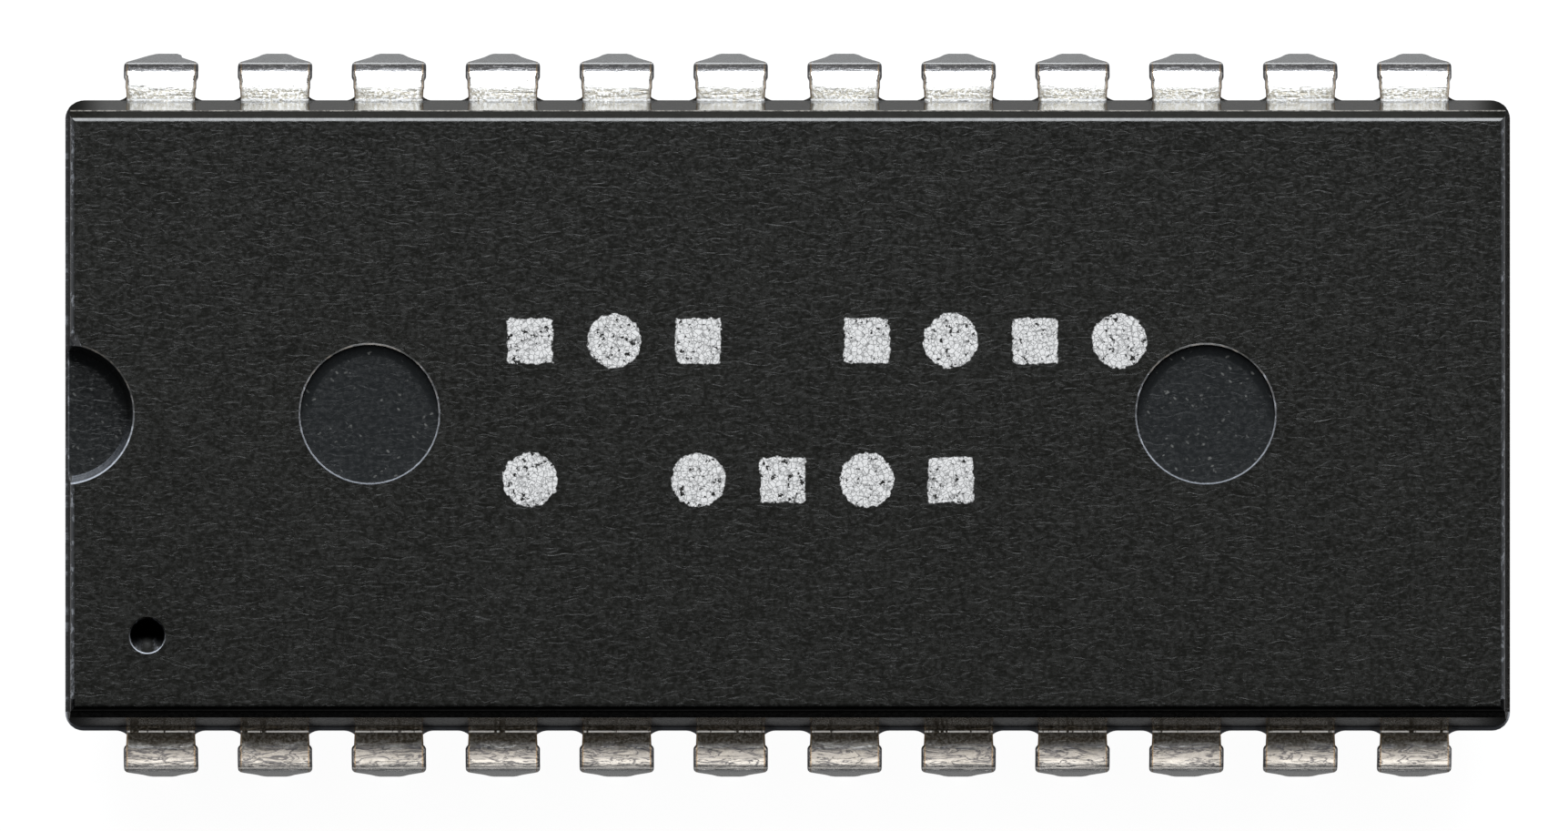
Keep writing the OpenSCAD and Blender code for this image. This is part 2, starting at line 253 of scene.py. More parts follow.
def scatter(tree, position, look):
    inputs = {"Position": position, "Scale": look["scale"], "Size": look["size"], "Share": look["share"]}
    return useGroup(tree, specks, inputs)["Mask"]


# Moulded epoxy

epoxy = {
    "dark": (0.0080, 0.0078, 0.0060),
    "light": (0.0152, 0.0149, 0.0122),
    "stroke": (0.038, 0.037, 0.034),
    "polished": (0.0180, 0.0205, 0.0225),
    "flash": (0.010, 0.007, 0.004),
    # painted light: the flash on the ledge below the front wall, painted pale though it lies in shade
    "flashFrontPaintedLight": (0.52, 0.53, 0.56),
    "rimBrown": (0.115, 0.095, 0.075),
    # the rims' pale beads, and their painted highlight in front
    "rimHighlightAndBeads": (0.78, 0.82, 0.90),
    # painted light on the notch's front wall
    "notchWallLight": (0.20, 0.22, 0.26),
    # painted highlights: along the rear bevel's lower edge, and over the end edges together with their real
    # chips
    "bevelEdgeHighlight": (0.34, 0.32, 0.29),
    "chipsAndEdgeHighlight": (0.42, 0.43, 0.46),
    "dust": (0.16, 0.16, 0.15),
    "roughness": 0.23,
    "wallRoughness": 0.13,
    "grainRoughness": 0.10,
    "wrinkleCover": 0.03,
    "wrinkleDepth": 0.0048,
    "wallWrinkles": 0.35,   # against those of the level faces
    "pinWrinkles": 0.7,
    "streakDepth": 0.35,    # on the walls alone
    "filletDepth": 0.05,
    "topZ": bodyHigh.z / mm,
    "markDrop": 0.1,        # the marks' floors lie more than this below the top, the bowl at least bowlDrop
    "bowlDrop": 0.01,
    "edgeDrop": 0.2,
    "partingZ": 5.6,
    "shift": 0.04,          # the upper half of the mould sits this far back
    "pinX": 9.3,
    "pinRadius": 1.545,
    "pinRim": 0.030,
    "notchX": -16.1,
    "notchRadius": 1.55,
    "notchRim": 0.035,
    "notchWallX": -15.93,   # the notch's wall lies inward of this
    "dimple": (-14.24, -4.89, 0),
    "dimpleRadius": 0.395,
    "dimpleRim": 0.017,
    "dimpleFade": 0.40,     # its rear half lies in shade
    "dimpleSideY": -4.0,    # in front of this the only mark is the dimple
    "endLedgeX": -16.0,     # beyond this only ledges of the left end are level
    "bevelEdgeZ": 7.19,
    "rearEdgeY": 6.2,       # behind this lies the rear side with its bevel
    "frontEdgeY": -6.3,     # in front of this the front side,
    "frontWallY": -6.6,     # and in front of this its wall without the bevel
    # painted shade: the top face is painted darker towards its front edge
    "borderY": -6.37,       # from here the top face darkens towards its front edge
    "borderWidth": 0.14,
    "bevelZ": 6.85,         # above this the front side lies in the shade of its own edge
    "bevelFade": 0.15,

    # noises and specks
    "cloud": {"scale": 0.9, "detail": 4.0, "roughness": 0.6, "range": (0.3, 0.7)},
    "grain": {"scale": 11.0, "detail": 3.0, "roughness": 0.6, "range": (0.35, 0.65)},
    "streak": {"scale": 9.0, "detail": 3.0, "roughness": 0.6, "stretch": (0.12, 1.0, 1.0)},
    "rimBreaks": {"scale": 5.0, "detail": 4.0, "roughness": 0.6, "range": (0.40, 0.62)},
    "wallWander": {"scale": 3.0, "detail": 2.0},
    "wallLines": {"Scale": 30.0, "Detail": 3.0},
    "bevelEdgePatches": {"scale": 7.0, "detail": 3.0, "roughness": 0.7, "stretch": (1.0, 0.2, 0.2),
                   "range": (0.36, 0.62, 0.25, 0.9)},
    "edgeDashes": {"scale": 4.5, "detail": 4.0, "roughness": 0.75, "stretch": (2.0, 1.0, 1.0),
                   "range": (0.52, 0.60)},
    "polishPatches": {"scale": 5.0, "detail": 4.0, "roughness": 0.7, "stretch": (1.0, 0.2, 0.2),
                      "range": (0.36, 0.62, 0.62, 1.0)},
    "beads": {"scale": 6.0, "size": 0.24, "share": 0.16},
    "dustSpecks": {"scale": 2.2, "size": 0.05, "share": 0.12},
    "flecks": {"scale": 9.0, "size": 0.22, "share": 0.22},
    "fleckTurns": (0.75, -0.45),
    "fleckStretch": (0.5, 1.0, 1.0),

    # limits of the masks: by how far up or sideways a face looks, by height, or by the distance
    # past a mark's edge or towards the rear
    "levelUp": (0.80, 0.97),
    "tiltedUp": (0.97, 0.999, 1.0, 0.0),
    "steepUp": (0.40, 0.60, 1.0, 0.0),
    "roundUp": (0.52, 0.62),
    "notFlatUp": (0.985, 0.999, 1.0, 0.0),
    "endUp": (0.20, 0.35),
    "endSideways": (0.25, 0.40),
    "flashHalf": (0.06, 0.12),
    "bevelEdgeHalf": (0.015, 0.035),
    "rimForward": (0.9, -1.3),
    "notchForward": (0.1, -0.9),
    "wallInner": (-0.20, -0.18),
    "wallOuter": (0.0, 0.01, 1.0, 0.0),
    "pinFillet": (-0.26, 0.0),
    "notchFillet": (-0.38, -0.08),
    "filletRearward": (-0.2, 0.9),

    # how strong each effect is
    "cloudShare": 0.4,
    "grainShare": 0.6,
    "strokeShown": (0.48, 0.43),    # on the faces and on the pins' floors
    "pinPolish": 0.7,
    "notchPolish": 0.5,
    "rimForwardShare": 0.8,
    "dimpleDrawnOut": 3.5,
    "wallWanders": 0.05,
    "wallLineTones": (0.30, 0.66, 0.25, 1.0),
    "edgeDashLeast": 0.20,
    "edgeDashShare": 0.7,
    "fleckShare": 0.8,
    "dustShare": 0.35,
    "undercutShade": (0.25, 0.80),
    "borderShade": (0.0, 0.85),
    "frontWallRougher": 0.12,
    "inkRougher": 0.25,
    "markRougher": 0.30,
    "notchFilletShare": 1.4,
}
# Plain marks in white ink, in two rows on one pitch
ink = {
    "firstX": -5.73,
    "pitch": 1.872,
    "upperY": 1.66,
    "lowerY": -1.43,
    "discRadius": 0.60,
    "squareHalf": 0.50,
    "squareRound": 0.12,
    "wobble": 0.16,
    "wobbleNoise": {"scale": 7.0, "detail": 2.0},
    "softEdge": 0.015,
    "thickness": 0.5,       # against the wrinkles' own depth
    "drop": 0.06,           # no ink lies lower than this below the top
    "pits": {"scale": 9.0, "detail": 3.0, "roughness": 0.6, "range": (0.36, 0.42)},
    "mottle": {"scale": 13.0, "detail": 3.0, "roughness": 0.7, "range": (0.28, 0.54)},
    "creaseScale": 9.0,
    "creaseWidth": 0.10,
    "creaseTone": 0.1,
    "upperGap": 3,
    "lowerGap": 1,
    "upperLast": 7,
    "lowerLast": 5,
    "bright": (0.96, 0.94, 0.92),
    "dull": (0.24, 0.235, 0.23),
}


def inkMask(tree, position, axes):
    place = calc(tree, "DIVIDE", calc(tree, "SUBTRACT", axes["X"], ink["firstX"]), ink["pitch"])
    cell = calc(tree, "FLOOR", calc(tree, "ADD", place, 0.5))
    across = product(tree, calc(tree, "SUBTRACT", place, cell), ink["pitch"])
    upper = calc(tree, "GREATER_THAN", axes["Y"], (ink["upperY"] + ink["lowerY"]) / 2)
    down = calc(tree, "SUBTRACT", axes["Y"], blend(tree, upper, ink["lowerY"], ink["upperY"]))

    # discs and squares by turns, with an uneven edge
    disc = calc(tree, "ADD", calc(tree, "POWER", across, 2), calc(tree, "POWER", down, 2))
    disc = calc(tree, "SQRT", disc)
    square = calc(tree, "SMOOTH_MAX", calc(tree, "ABSOLUTE", across), calc(tree, "ABSOLUTE", down),
                  ink["squareRound"])
    odd = calc(tree, "MODULO", calc(tree, "ADD", calc(tree, "ADD", cell, 2), upper), 2)
    discEdge = calc(tree, "SUBTRACT", disc, ink["discRadius"])
    squareEdge = calc(tree, "SUBTRACT", square, ink["squareHalf"])
    edge = calc(tree, "MULTIPLY_ADD", odd, calc(tree, "SUBTRACT", squareEdge, discEdge), discEdge)
    wobble = noise(tree, position, ink["wobbleNoise"])
    wobble = product(tree, calc(tree, "SUBTRACT", wobble, 0.5), ink["wobble"])
    shape = ramp(tree, calc(tree, "ADD", edge, wobble), -ink["softEdge"], ink["softEdge"], 1.0, 0.0)

    # each row ends at its last cell and has one empty cell
    last = blend(tree, upper, ink["lowerLast"], ink["upperLast"])
    gap = blend(tree, upper, ink["lowerGap"], ink["upperGap"])
    started = calc(tree, "GREATER_THAN", cell, -0.5)
    notPast = calc(tree, "LESS_THAN", cell, calc(tree, "ADD", last, 0.5))
    kept = calc(tree, "SUBTRACT", 1.0, calc(tree, "COMPARE", cell, gap, 0.4))
    onTop = calc(tree, "GREATER_THAN", axes["Z"], epoxy["topZ"] - ink["drop"])
    return product(tree, shape, started, notPast, kept, onTop)


# The body's places as masks, and the measures that other masks are made from
def bodyPlaces(tree, position, axes):
    facing = split(tree, newNode(tree, "NewGeometry").outputs["True Normal"])
    up = calc(tree, "ABSOLUTE", facing["Z"])
    level = ramp(tree, up, *epoxy["levelUp"])
    high = calc(tree, "GREATER_THAN", axes["Z"], epoxy["topZ"] - epoxy["markDrop"])
    low = calc(tree, "SUBTRACT", 1.0, high)
    folded = newNode(tree, "CombineXYZ", {0: calc(tree, "ABSOLUTE", axes["X"]), 1: axes["Y"]}).outputs[0]
    pinCentre = (epoxy["pinX"], epoxy["shift"], 0)
    notchCentre = (epoxy["notchX"], epoxy["shift"], 0)
    pin = ring(tree, folded, pinCentre, epoxy["pinRadius"], epoxy["pinRim"])
    notch = ring(tree, position, notchCentre, epoxy["notchRadius"], epoxy["notchRim"])
    dimple = ring(tree, position, epoxy["dimple"], epoxy["dimpleRadius"], epoxy["dimpleRim"])
    bowlDeep = calc(tree, "LESS_THAN", axes["Z"], epoxy["topZ"] - epoxy["bowlDrop"])
    return {
        "up": up,
        "sideways": calc(tree, "ABSOLUTE", facing["X"]),
        "level": level,
        "high": high,
        "pastPin": pin["Past"],
        "pastNotch": notch["Past"],
        "pinFloor": product(tree, pin["Inside"], low, level),
        "notchFloor": product(tree, notch["Inside"], low, level),
        "bowl": product(tree, dimple["Inside"], bowlDeep),
        "rims": product(tree, largest(tree, pin["Line"], notch["Line"], dimple["Line"]), high),
        "rearSide": calc(tree, "GREATER_THAN", axes["Y"], epoxy["rearEdgeY"]),
        "frontSide": calc(tree, "LESS_THAN", axes["Y"], epoxy["frontEdgeY"]),
        "frontWall": calc(tree, "LESS_THAN", axes["Y"], epoxy["frontWallY"]),
    }


def skinColour(tree, position, place, grain, strokes):
    cloud = noise(tree, position, epoxy["cloud"])
    tone = calc(tree, "MULTIPLY_ADD", cloud, epoxy["cloudShare"], product(tree, grain, epoxy["grainShare"]))
    colour = mixColour(tree, tone, epoxy["dark"], epoxy["light"])
    faint = product(tree, strokes, place["level"], blend(tree, place["pinFloor"], *epoxy["strokeShown"]))
    colour = mixColour(tree, faint, colour, epoxy["stroke"])
    polished = largest(tree, product(tree, place["pinFloor"], epoxy["pinPolish"]),
                       product(tree, place["notchFloor"], epoxy["notchPolish"]))
    return mixColour(tree, polished, colour, epoxy["polished"])


# Flash along the parting line. On the ledge below the front wall it is painted pale as painted light, since
# that ledge lies in the body's own shade
def addFlash(tree, axes, place, colour):
    ledge = product(tree, place["frontWall"], place["level"])
    flash = mixColour(tree, ledge, epoxy["flash"], epoxy["flashFrontPaintedLight"])
    line = lineAt(tree, axes["Z"], epoxy["partingZ"], *epoxy["flashHalf"])
    return mixColour(tree, line, colour, flash)


# Rims of the marks: brown with a few pale beads, and painted pale in front as a painted highlight. The
# dimple is small, so that its distances from front to back are drawn out
def addRims(tree, position, axes, place, colour):
    inDimple = calc(tree, "LESS_THAN", axes["Y"], epoxy["dimpleSideY"])
    drawnOut = calc(tree, "SUBTRACT", axes["Y"], epoxy["dimple"][1])
    drawnOut = product(tree, drawnOut, epoxy["dimpleDrawnOut"])
    back = calc(tree, "MULTIPLY_ADD", inDimple, calc(tree, "SUBTRACT", drawnOut, axes["Y"]), axes["Y"])
    forward = ramp(tree, back, *epoxy["rimForward"])
    broken = noise(tree, position, epoxy["rimBreaks"])
    kept = largest(tree, broken, product(tree, forward, epoxy["rimForwardShare"]))
    rims = product(tree, place["rims"], kept)
    beads = scatter(tree, position, epoxy["beads"])
    rimColour = mixColour(tree, largest(tree, forward, beads), epoxy["rimBrown"], epoxy["rimHighlightAndBeads"])
    return mixColour(tree, rims, colour, rimColour)


# Painted light: the front wall of the notch is painted pale in fine lines that follow its curve, as light
# thrown back onto that wall
def addNotchWallLight(tree, position, axes, place, colour):
    past = place["pastNotch"]
    wander = noise(tree, position, epoxy["wallWander"])
    around = calc(tree, "MULTIPLY_ADD", wander, epoxy["wallWanders"], past)
    lines = newNode(tree, "TexNoise", {"W": around, **epoxy["wallLines"]}, noise_dimensions="1D")
    band = product(tree, ramp(tree, past, *epoxy["wallInner"]), ramp(tree, past, *epoxy["wallOuter"]),
                   ramp(tree, place["up"], *epoxy["steepUp"]),
                   ramp(tree, axes["Y"], *epoxy["notchForward"]),
                   calc(tree, "GREATER_THAN", axes["X"], epoxy["notchWallX"]))
    paintedLightAndWear = product(tree, band, ramp(tree, lines.outputs["Fac"], *epoxy["wallLineTones"]))
    return mixColour(tree, paintedLightAndWear, colour, epoxy["notchWallLight"])


# Painted highlights: a pale line in patches along the lower edge of the rear bevel, and pale short dashes
# over the edges of the end walls that stand for both their chips and their highlight
def addEdgeHighlightsAndChips(tree, position, axes, place, colour):
    line = lineAt(tree, axes["Z"], epoxy["bevelEdgeZ"], *epoxy["bevelEdgeHalf"])
    paintedLightAndWear = product(tree, line, place["rearSide"], noise(tree, position, epoxy["bevelEdgePatches"]))
    colour = mixColour(tree, paintedLightAndWear, colour, epoxy["bevelEdgeHighlight"])
    endEdge = product(tree, ramp(tree, place["sideways"], *epoxy["endSideways"]),
                      ramp(tree, place["up"], *epoxy["endUp"]))
    ledge = product(tree, calc(tree, "LESS_THAN", axes["X"], epoxy["endLedgeX"]), place["level"])
    dashes = largest(tree, noise(tree, position, epoxy["edgeDashes"]), epoxy["edgeDashLeast"])
    chipsAndEdgeHighlight = product(tree, largest(tree, endEdge, ledge), dashes, epoxy["edgeDashShare"])
    return mixColour(tree, chipsAndEdgeHighlight, colour, epoxy["chipsAndEdgeHighlight"])


# Dust over the body, and flecks in two directions on the floors of the marks
def addDust(tree, position, place, grain, colour):
    flecks = []
    for angle in epoxy["fleckTurns"]:
        turned = newNode(tree, "VectorRotate", {"Vector": position, "Angle": angle}, rotation_type="Z_AXIS")
        along = stretched(tree, turned.outputs[0], epoxy["fleckStretch"])
        flecks.append(scatter(tree, along, epoxy["flecks"]))
    sunk = largest(tree, place["pinFloor"], place["notchFloor"])
    flecks = product(tree, largest(tree, *flecks), grain, sunk, epoxy["fleckShare"])
    dust = product(tree, scatter(tree, position, epoxy["dustSpecks"]), epoxy["dustShare"])
    return mixColour(tree, largest(tree, dust, flecks), colour, epoxy["dust"])


# Ink: mottled, with pits where the skin shows through
def inkLook(tree, position, axes):
    inputs = {"Vector": position, "Scale": ink["creaseScale"]}
    cells = newNode(tree, "TexVoronoi", inputs, feature="DISTANCE_TO_EDGE")
    crease = ramp(tree, cells.outputs["Distance"], 0.0, ink["creaseWidth"], 1.0, 0.0)
    pits = noise(tree, position, ink["pits"])
    mottle = noise(tree, position, ink["mottle"])
    mottle = product(tree, mottle, blend(tree, crease, 1.0, ink["creaseTone"]))
    return product(tree, inkMask(tree, position, axes), pits), mottle


# Painted shade: places taken as too deep or too undercut for any light are painted black and made metal, so
# that they mirror nothing
def shadedPlaces(tree, axes, place):
    tilted = ramp(tree, place["up"], *epoxy["tiltedUp"])
    bevelLow = epoxy["bevelZ"] - epoxy["bevelFade"]
    undercut = product(tree, place["frontSide"], tilted,
                       ramp(tree, axes["Z"], bevelLow, epoxy["bevelZ"], *epoxy["undercutShade"]))
    dimpleY = epoxy["dimple"][1]
    deep = product(tree, place["bowl"], ramp(tree, axes["Y"], dimpleY - epoxy["dimpleFade"], dimpleY))
    borderEnd = epoxy["borderY"] - epoxy["borderWidth"]
    border = ramp(tree, axes["Y"], epoxy["borderY"], borderEnd, *epoxy["borderShade"])
    border = product(tree, place["high"], border)
    return largest(tree, undercut, deep, border)


# The upper rear edge keeps the mould's polish, in patches
def polishedEdge(tree, position, axes, place):
    rounded = product(tree, ramp(tree, place["up"], *epoxy["roundUp"]),
                      ramp(tree, place["up"], *epoxy["notFlatUp"]))
    above = calc(tree, "GREATER_THAN", axes["Z"], epoxy["topZ"] - epoxy["edgeDrop"])
    return product(tree, rounded, above, place["rearSide"], noise(tree, position, epoxy["polishPatches"]))


# The walls keep the mould's polish, the level faces are skinned and dull
def bodyRoughness(tree, place, grain, printed):
    spread = epoxy["grainRoughness"]
    dull = calc(tree, "MULTIPLY_ADD", grain, spread, epoxy["roughness"] - spread / 2)
    gloss = calc(tree, "MULTIPLY_ADD", grain, spread, epoxy["wallRoughness"] - spread / 2)
    gloss = calc(tree, "MULTIPLY_ADD", place["frontWall"], epoxy["frontWallRougher"], gloss)
    roughness = calc(tree, "MULTIPLY_ADD", place["level"], calc(tree, "SUBTRACT", dull, gloss), gloss)
    for mask, more in ((printed, epoxy["inkRougher"]), (place["bowl"], epoxy["markRougher"]),
                       (place["rims"], epoxy["markRougher"])):
        roughness = calc(tree, "MULTIPLY_ADD", mask, more, roughness)
    return roughness


def bodyRelief(tree, position, axes, place, wrinkled, printed, mottle):
    height = product(tree, wrinkled, blend(tree, place["level"], epoxy["wallWrinkles"], 1.0),
                     blend(tree, place["pinFloor"], 1.0, epoxy["pinWrinkles"]))
    streak = noise(tree, position, epoxy["streak"])
    streakDepth = blend(tree, place["level"], epoxy["streakDepth"], 0.0)
    height = calc(tree, "MULTIPLY_ADD", streak, streakDepth, height)
    height = calc(tree, "MULTIPLY_ADD", mottle, product(tree, printed, ink["thickness"]), height)
    relief = bump(tree, height, epoxy["wrinkleDepth"])

    # a soft fillet where the rear half of each floor meets its wall
    pinFillet = product(tree, ramp(tree, place["pastPin"], *epoxy["pinFillet"]), place["pinFloor"])
    notchFillet = product(tree, ramp(tree, place["pastNotch"], *epoxy["notchFillet"]), place["notchFloor"],
                          epoxy["notchFilletShare"])
    rearward = ramp(tree, axes["Y"], *epoxy["filletRearward"])
    fillet = product(tree, largest(tree, pinFillet, notchFillet), rearward)
    return bump(tree, fillet, epoxy["filletDepth"], Normal=relief)


def makeEpoxy():
    material, tree, shader = newMaterial("mouldedEpoxy", IOR=1.5)
    position = millimetres(tree)
    axes = split(tree, position)
    place = bodyPlaces(tree, position, axes)
    skin = useGroup(tree, wrinkles, {"Position": position, "Cover": epoxy["wrinkleCover"]})
    grain = noise(tree, position, epoxy["grain"])
    printed, mottle = inkLook(tree, position, axes)

    colour = skinColour(tree, position, place, grain, skin["Strokes"])
    colour = addFlash(tree, axes, place, colour)
    colour = addRims(tree, position, axes, place, colour)
    colour = addNotchWallLight(tree, position, axes, place, colour)
    colour = addEdgeHighlightsAndChips(tree, position, axes, place, colour)
    colour = addDust(tree, position, place, grain, colour)
    colour = mixColour(tree, printed, colour, mixColour(tree, mottle, ink["dull"], ink["bright"]))
    # painted shade over the front bevel, the dimple's rear half and the top face's front border
    shade = shadedPlaces(tree, axes, place)
    colour = mixColour(tree, shade, colour, (0.0, 0.0, 0.0))

    tree.links.new(colour, shader.inputs["Base Color"])
    tree.links.new(shade, shader.inputs["Metallic"])
    tree.links.new(polishedEdge(tree, position, axes, place), shader.inputs["Coat Weight"])
    tree.links.new(bodyRoughness(tree, place, grain, printed), shader.inputs["Roughness"])
    normal = bodyRelief(tree, position, axes, place, skin["Height"], printed, mottle)
    tree.links.new(normal, shader.inputs["Normal"])
    return material


# Tinned metal of the leads. Distances outward are measured from the foot of the body's wall
tin = {
    "bright": (0.83, 0.82, 0.80),
    "dull": (0.50, 0.49, 0.47),
    "stain": (0.041, 0.035, 0.026),
    "warm": (0.60, 0.43, 0.26),
    "haze": (0.40, 0.37, 0.31),
    # residue: also the colour of the painted highlight on the bends' lip
    "residue": (0.80, 0.80, 0.80),
    "leg": (0.96, 0.98, 1.0),
    # dark and dull: the sheared sides, the creases and greyed middles of the front bends, and the painted
    # reflection in the band over the bends
    "paintedLightAndWear": (0.13, 0.13, 0.145),
    "wall": 7.02,
    "residueOut": 0.020,
    "bandOut": (0.785, 0.730),      # on the front and on the rear row
    "bandHalf": (0.012, 0.080),     # the same
    "lipOut": 0.835,
    "bendLow": 5.0,
    "seamX": 0.755,         # sideways from the middle of a lead
    "sideX": 0.785,
    "halfPitch": 1.27,
    "roughness": 0.15,
    "fineRoughness": 0.25,
    "waveDepth": 0.024,
    "waveShare": (1.0, 0.4),        # on the front and on the rear row
    "fineShare": 0.25,
    "scratchDepth": -0.12,

    "cloud": {"scale": 1.6, "detail": 4.0, "roughness": 0.6},
    "fine": {"scale": 14.0, "detail": 3.0, "roughness": 0.6},
    "waves": {"scale": 5.5, "detail": 3.0, "roughness": 0.6, "distortion": 0.8,
              "stretch": (0.28, 1.0, 1.0)},
    "scratch": {"scale": 16.0, "detail": 2.0, "stretch": (0.10, 1.0, 1.0), "turn": (0, 0, 0.5),
                "range": (0.60, 0.68)},
    "dash": {"scale": 6.0, "detail": 3.0, "roughness": 0.7, "stretch": (1.0, 0.2, 0.2),
             "range": (0.38, 0.46)},
    "specks": {"scale": 5.0, "size": 0.18, "share": 0.22},

    # what the noises do to each effect
    "cloudTones": (0.35, 0.62, 0.0, 0.6),
    "fineTones": (0.36, 0.60, 0.0, 0.4),
    "tarnishTones": (0.40, 0.64, 1.0, 0.91),
    "hazeTones": (0.44, 0.58, 1.0, 0.1),
    "greyTones": (0.35, 0.60, 0.20, 0.50),
    "bandTones": (0.60, 0.66, 1.0, 0.25),

    # where each effect fades, outward
    "neckWanders": -0.30,
    "neckFades": (0.06, 0.42, 1.0, 0.0),
    "hazeFades": (0.18, 0.34, 1.0, 0.0),
    "creasedFrom": (0.24, 0.40),
    "creasedTo": (0.74, 0.84, 1.0, 0.0),
    "greyedFrom": (0.34, 0.44),
    "greyedTo": (0.58, 0.68, 1.0, 0.0),
    "legFrom": (0.80, 0.90),
    "bandFades": (-0.02, 0.015, 1.0, 0.0),
    "bandWanders": 0.10,
    "lineHalf": (0.008, 0.022),
    "residueHalf": (0.012, 0.026),
    "creaseHalf": (0.0, 0.055),
    "sideFades": 0.015,

    # how strong each one is
    "speckShare": 0.55,
    "scratchShare": 0.35,
    "creaseShare": 0.95,
    "legShare": 0.9,
    "bandShare": 0.75,
    "lipShare": 0.6,
    "sideShare": 0.75,
    "seamShare": 0.7,
    "neckRougher": 0.12,
}


def makeTin():
    material, tree, shader = newMaterial("tinnedMetal", Metallic=1.0)
    position = millimetres(tree)
    axes = split(tree, position)
    outward = calc(tree, "SUBTRACT", calc(tree, "ABSOLUTE", axes["Y"]), tin["wall"])
    rear = calc(tree, "GREATER_THAN", axes["Y"], 0.0)
    front = calc(tree, "SUBTRACT", 1.0, rear)
    bend = calc(tree, "GREATER_THAN", axes["Z"], tin["bendLow"])
    cloud = noise(tree, position, tin["cloud"])
    fine = noise(tree, position, tin["fine"])
    waves = noise(tree, position, tin["waves"])
    scratch = noise(tree, position, tin["scratch"])

    # mottled plating with specks and scratches
    tone = calc(tree, "ADD", ramp(tree, cloud, *tin["cloudTones"]), ramp(tree, fine, *tin["fineTones"]))
    colour = mixColour(tree, tone, tin["dull"], tin["bright"])
    dark = product(tree, scatter(tree, position, tin["specks"]), tin["speckShare"])
    colour = mixColour(tree, dark, colour, tin["stain"])
    colour = mixColour(tree, product(tree, scratch, tin["scratchShare"]), colour, tin["stain"])

    # neck: stained dark on the front row, hazy on the rear one
    neck = ramp(tree, calc(tree, "MULTIPLY_ADD", waves, tin["neckWanders"], outward), *tin["neckFades"])
    tarnish = product(tree, neck, front, ramp(tree, fine, *tin["tarnishTones"]))
    colour = mixColour(tree, tarnish, colour, tin["stain"])
    hazy = product(tree, ramp(tree, outward, *tin["hazeFades"]), ramp(tree, fine, *tin["hazeTones"]), rear)
    colour = mixColour(tree, hazy, colour, tin["haze"])

    # front bends: creased, and greyed over their middle
    creased = product(tree, lineAt(tree, waves, 0.5, *tin["creaseHalf"]),
                      ramp(tree, outward, *tin["creasedFrom"]), ramp(tree, outward, *tin["creasedTo"]),
                      front, tin["creaseShare"])
    colour = mixColour(tree, creased, colour, tin["paintedLightAndWear"])
    greyed = product(tree, ramp(tree, outward, *tin["greyedFrom"]), ramp(tree, outward, *tin["greyedTo"]),
                     front, ramp(tree, cloud, *tin["greyTones"]))
    colour = mixColour(tree, greyed, colour, tin["paintedLightAndWear"])
    leg = product(tree, ramp(tree, outward, *tin["legFrom"]), tin["legShare"])
    colour = mixColour(tree, leg, colour, tin["leg"])

    # painted reflection: a dark band over the bend, broader on the rear row, stands for the dark
    # surroundings that the bend mirrors, and a pale line on the lip below it is a painted highlight
    wander = product(tree, calc(tree, "SUBTRACT", waves, 0.5), tin["bandWanders"])
    off = calc(tree, "SUBTRACT", calc(tree, "ADD", outward, wander), blend(tree, rear, *tin["bandOut"]))
    off = calc(tree, "SUBTRACT", calc(tree, "ABSOLUTE", off), blend(tree, rear, *tin["bandHalf"]))
    band = product(tree, ramp(tree, off, *tin["bandFades"]), bend, ramp(tree, fine, *tin["bandTones"]))
    colour = mixColour(tree, product(tree, band, tin["bandShare"]), colour, tin["paintedLightAndWear"])
    bright = product(tree, lineAt(tree, outward, tin["lipOut"], *tin["lineHalf"]), bend, tin["lipShare"])

    # sides of the strip: dull where they were sheared, with a warm line where the plating starts
    fromGap = calc(tree, "PINGPONG", axes["X"], tin["halfPitch"])
    offCentre = calc(tree, "SUBTRACT", tin["halfPitch"], fromGap)
    beside = ramp(tree, offCentre, tin["sideX"], tin["sideX"] + tin["sideFades"])
    beside = product(tree, beside, bend, tin["sideShare"])
    colour = mixColour(tree, beside, colour, tin["paintedLightAndWear"])
    seam = product(tree, lineAt(tree, offCentre, tin["seamX"], *tin["lineHalf"]), bend, tin["seamShare"])
    colour = mixColour(tree, seam, colour, tin["warm"])

    # thin line of scraped residue where the metal leaves the body
    residue = product(tree, lineAt(tree, outward, tin["residueOut"], *tin["residueHalf"]),
                      noise(tree, position, tin["dash"]))
    # the painted highlight of the lip shares the residue's matte pale colour
    pale = largest(tree, residue, bright)
    colour = mixColour(tree, pale, colour, tin["residue"])
    tree.links.new(colour, shader.inputs["Base Color"])
    tree.links.new(calc(tree, "SUBTRACT", 1.0, pale), shader.inputs["Metallic"])

    roughness = calc(tree, "MULTIPLY_ADD", fine, tin["fineRoughness"], tin["roughness"])
    roughness = calc(tree, "MULTIPLY_ADD", neck, tin["neckRougher"], roughness)
    tree.links.new(roughness, shader.inputs["Roughness"])
    height = product(tree, waves, blend(tree, rear, *tin["waveShare"]))
    height = calc(tree, "MULTIPLY_ADD", fine, tin["fineShare"], height)
    height = calc(tree, "MULTIPLY_ADD", scratch, tin["scratchDepth"], height)
    tree.links.new(bump(tree, height, tin["waveDepth"]), shader.inputs["Normal"])
    return material


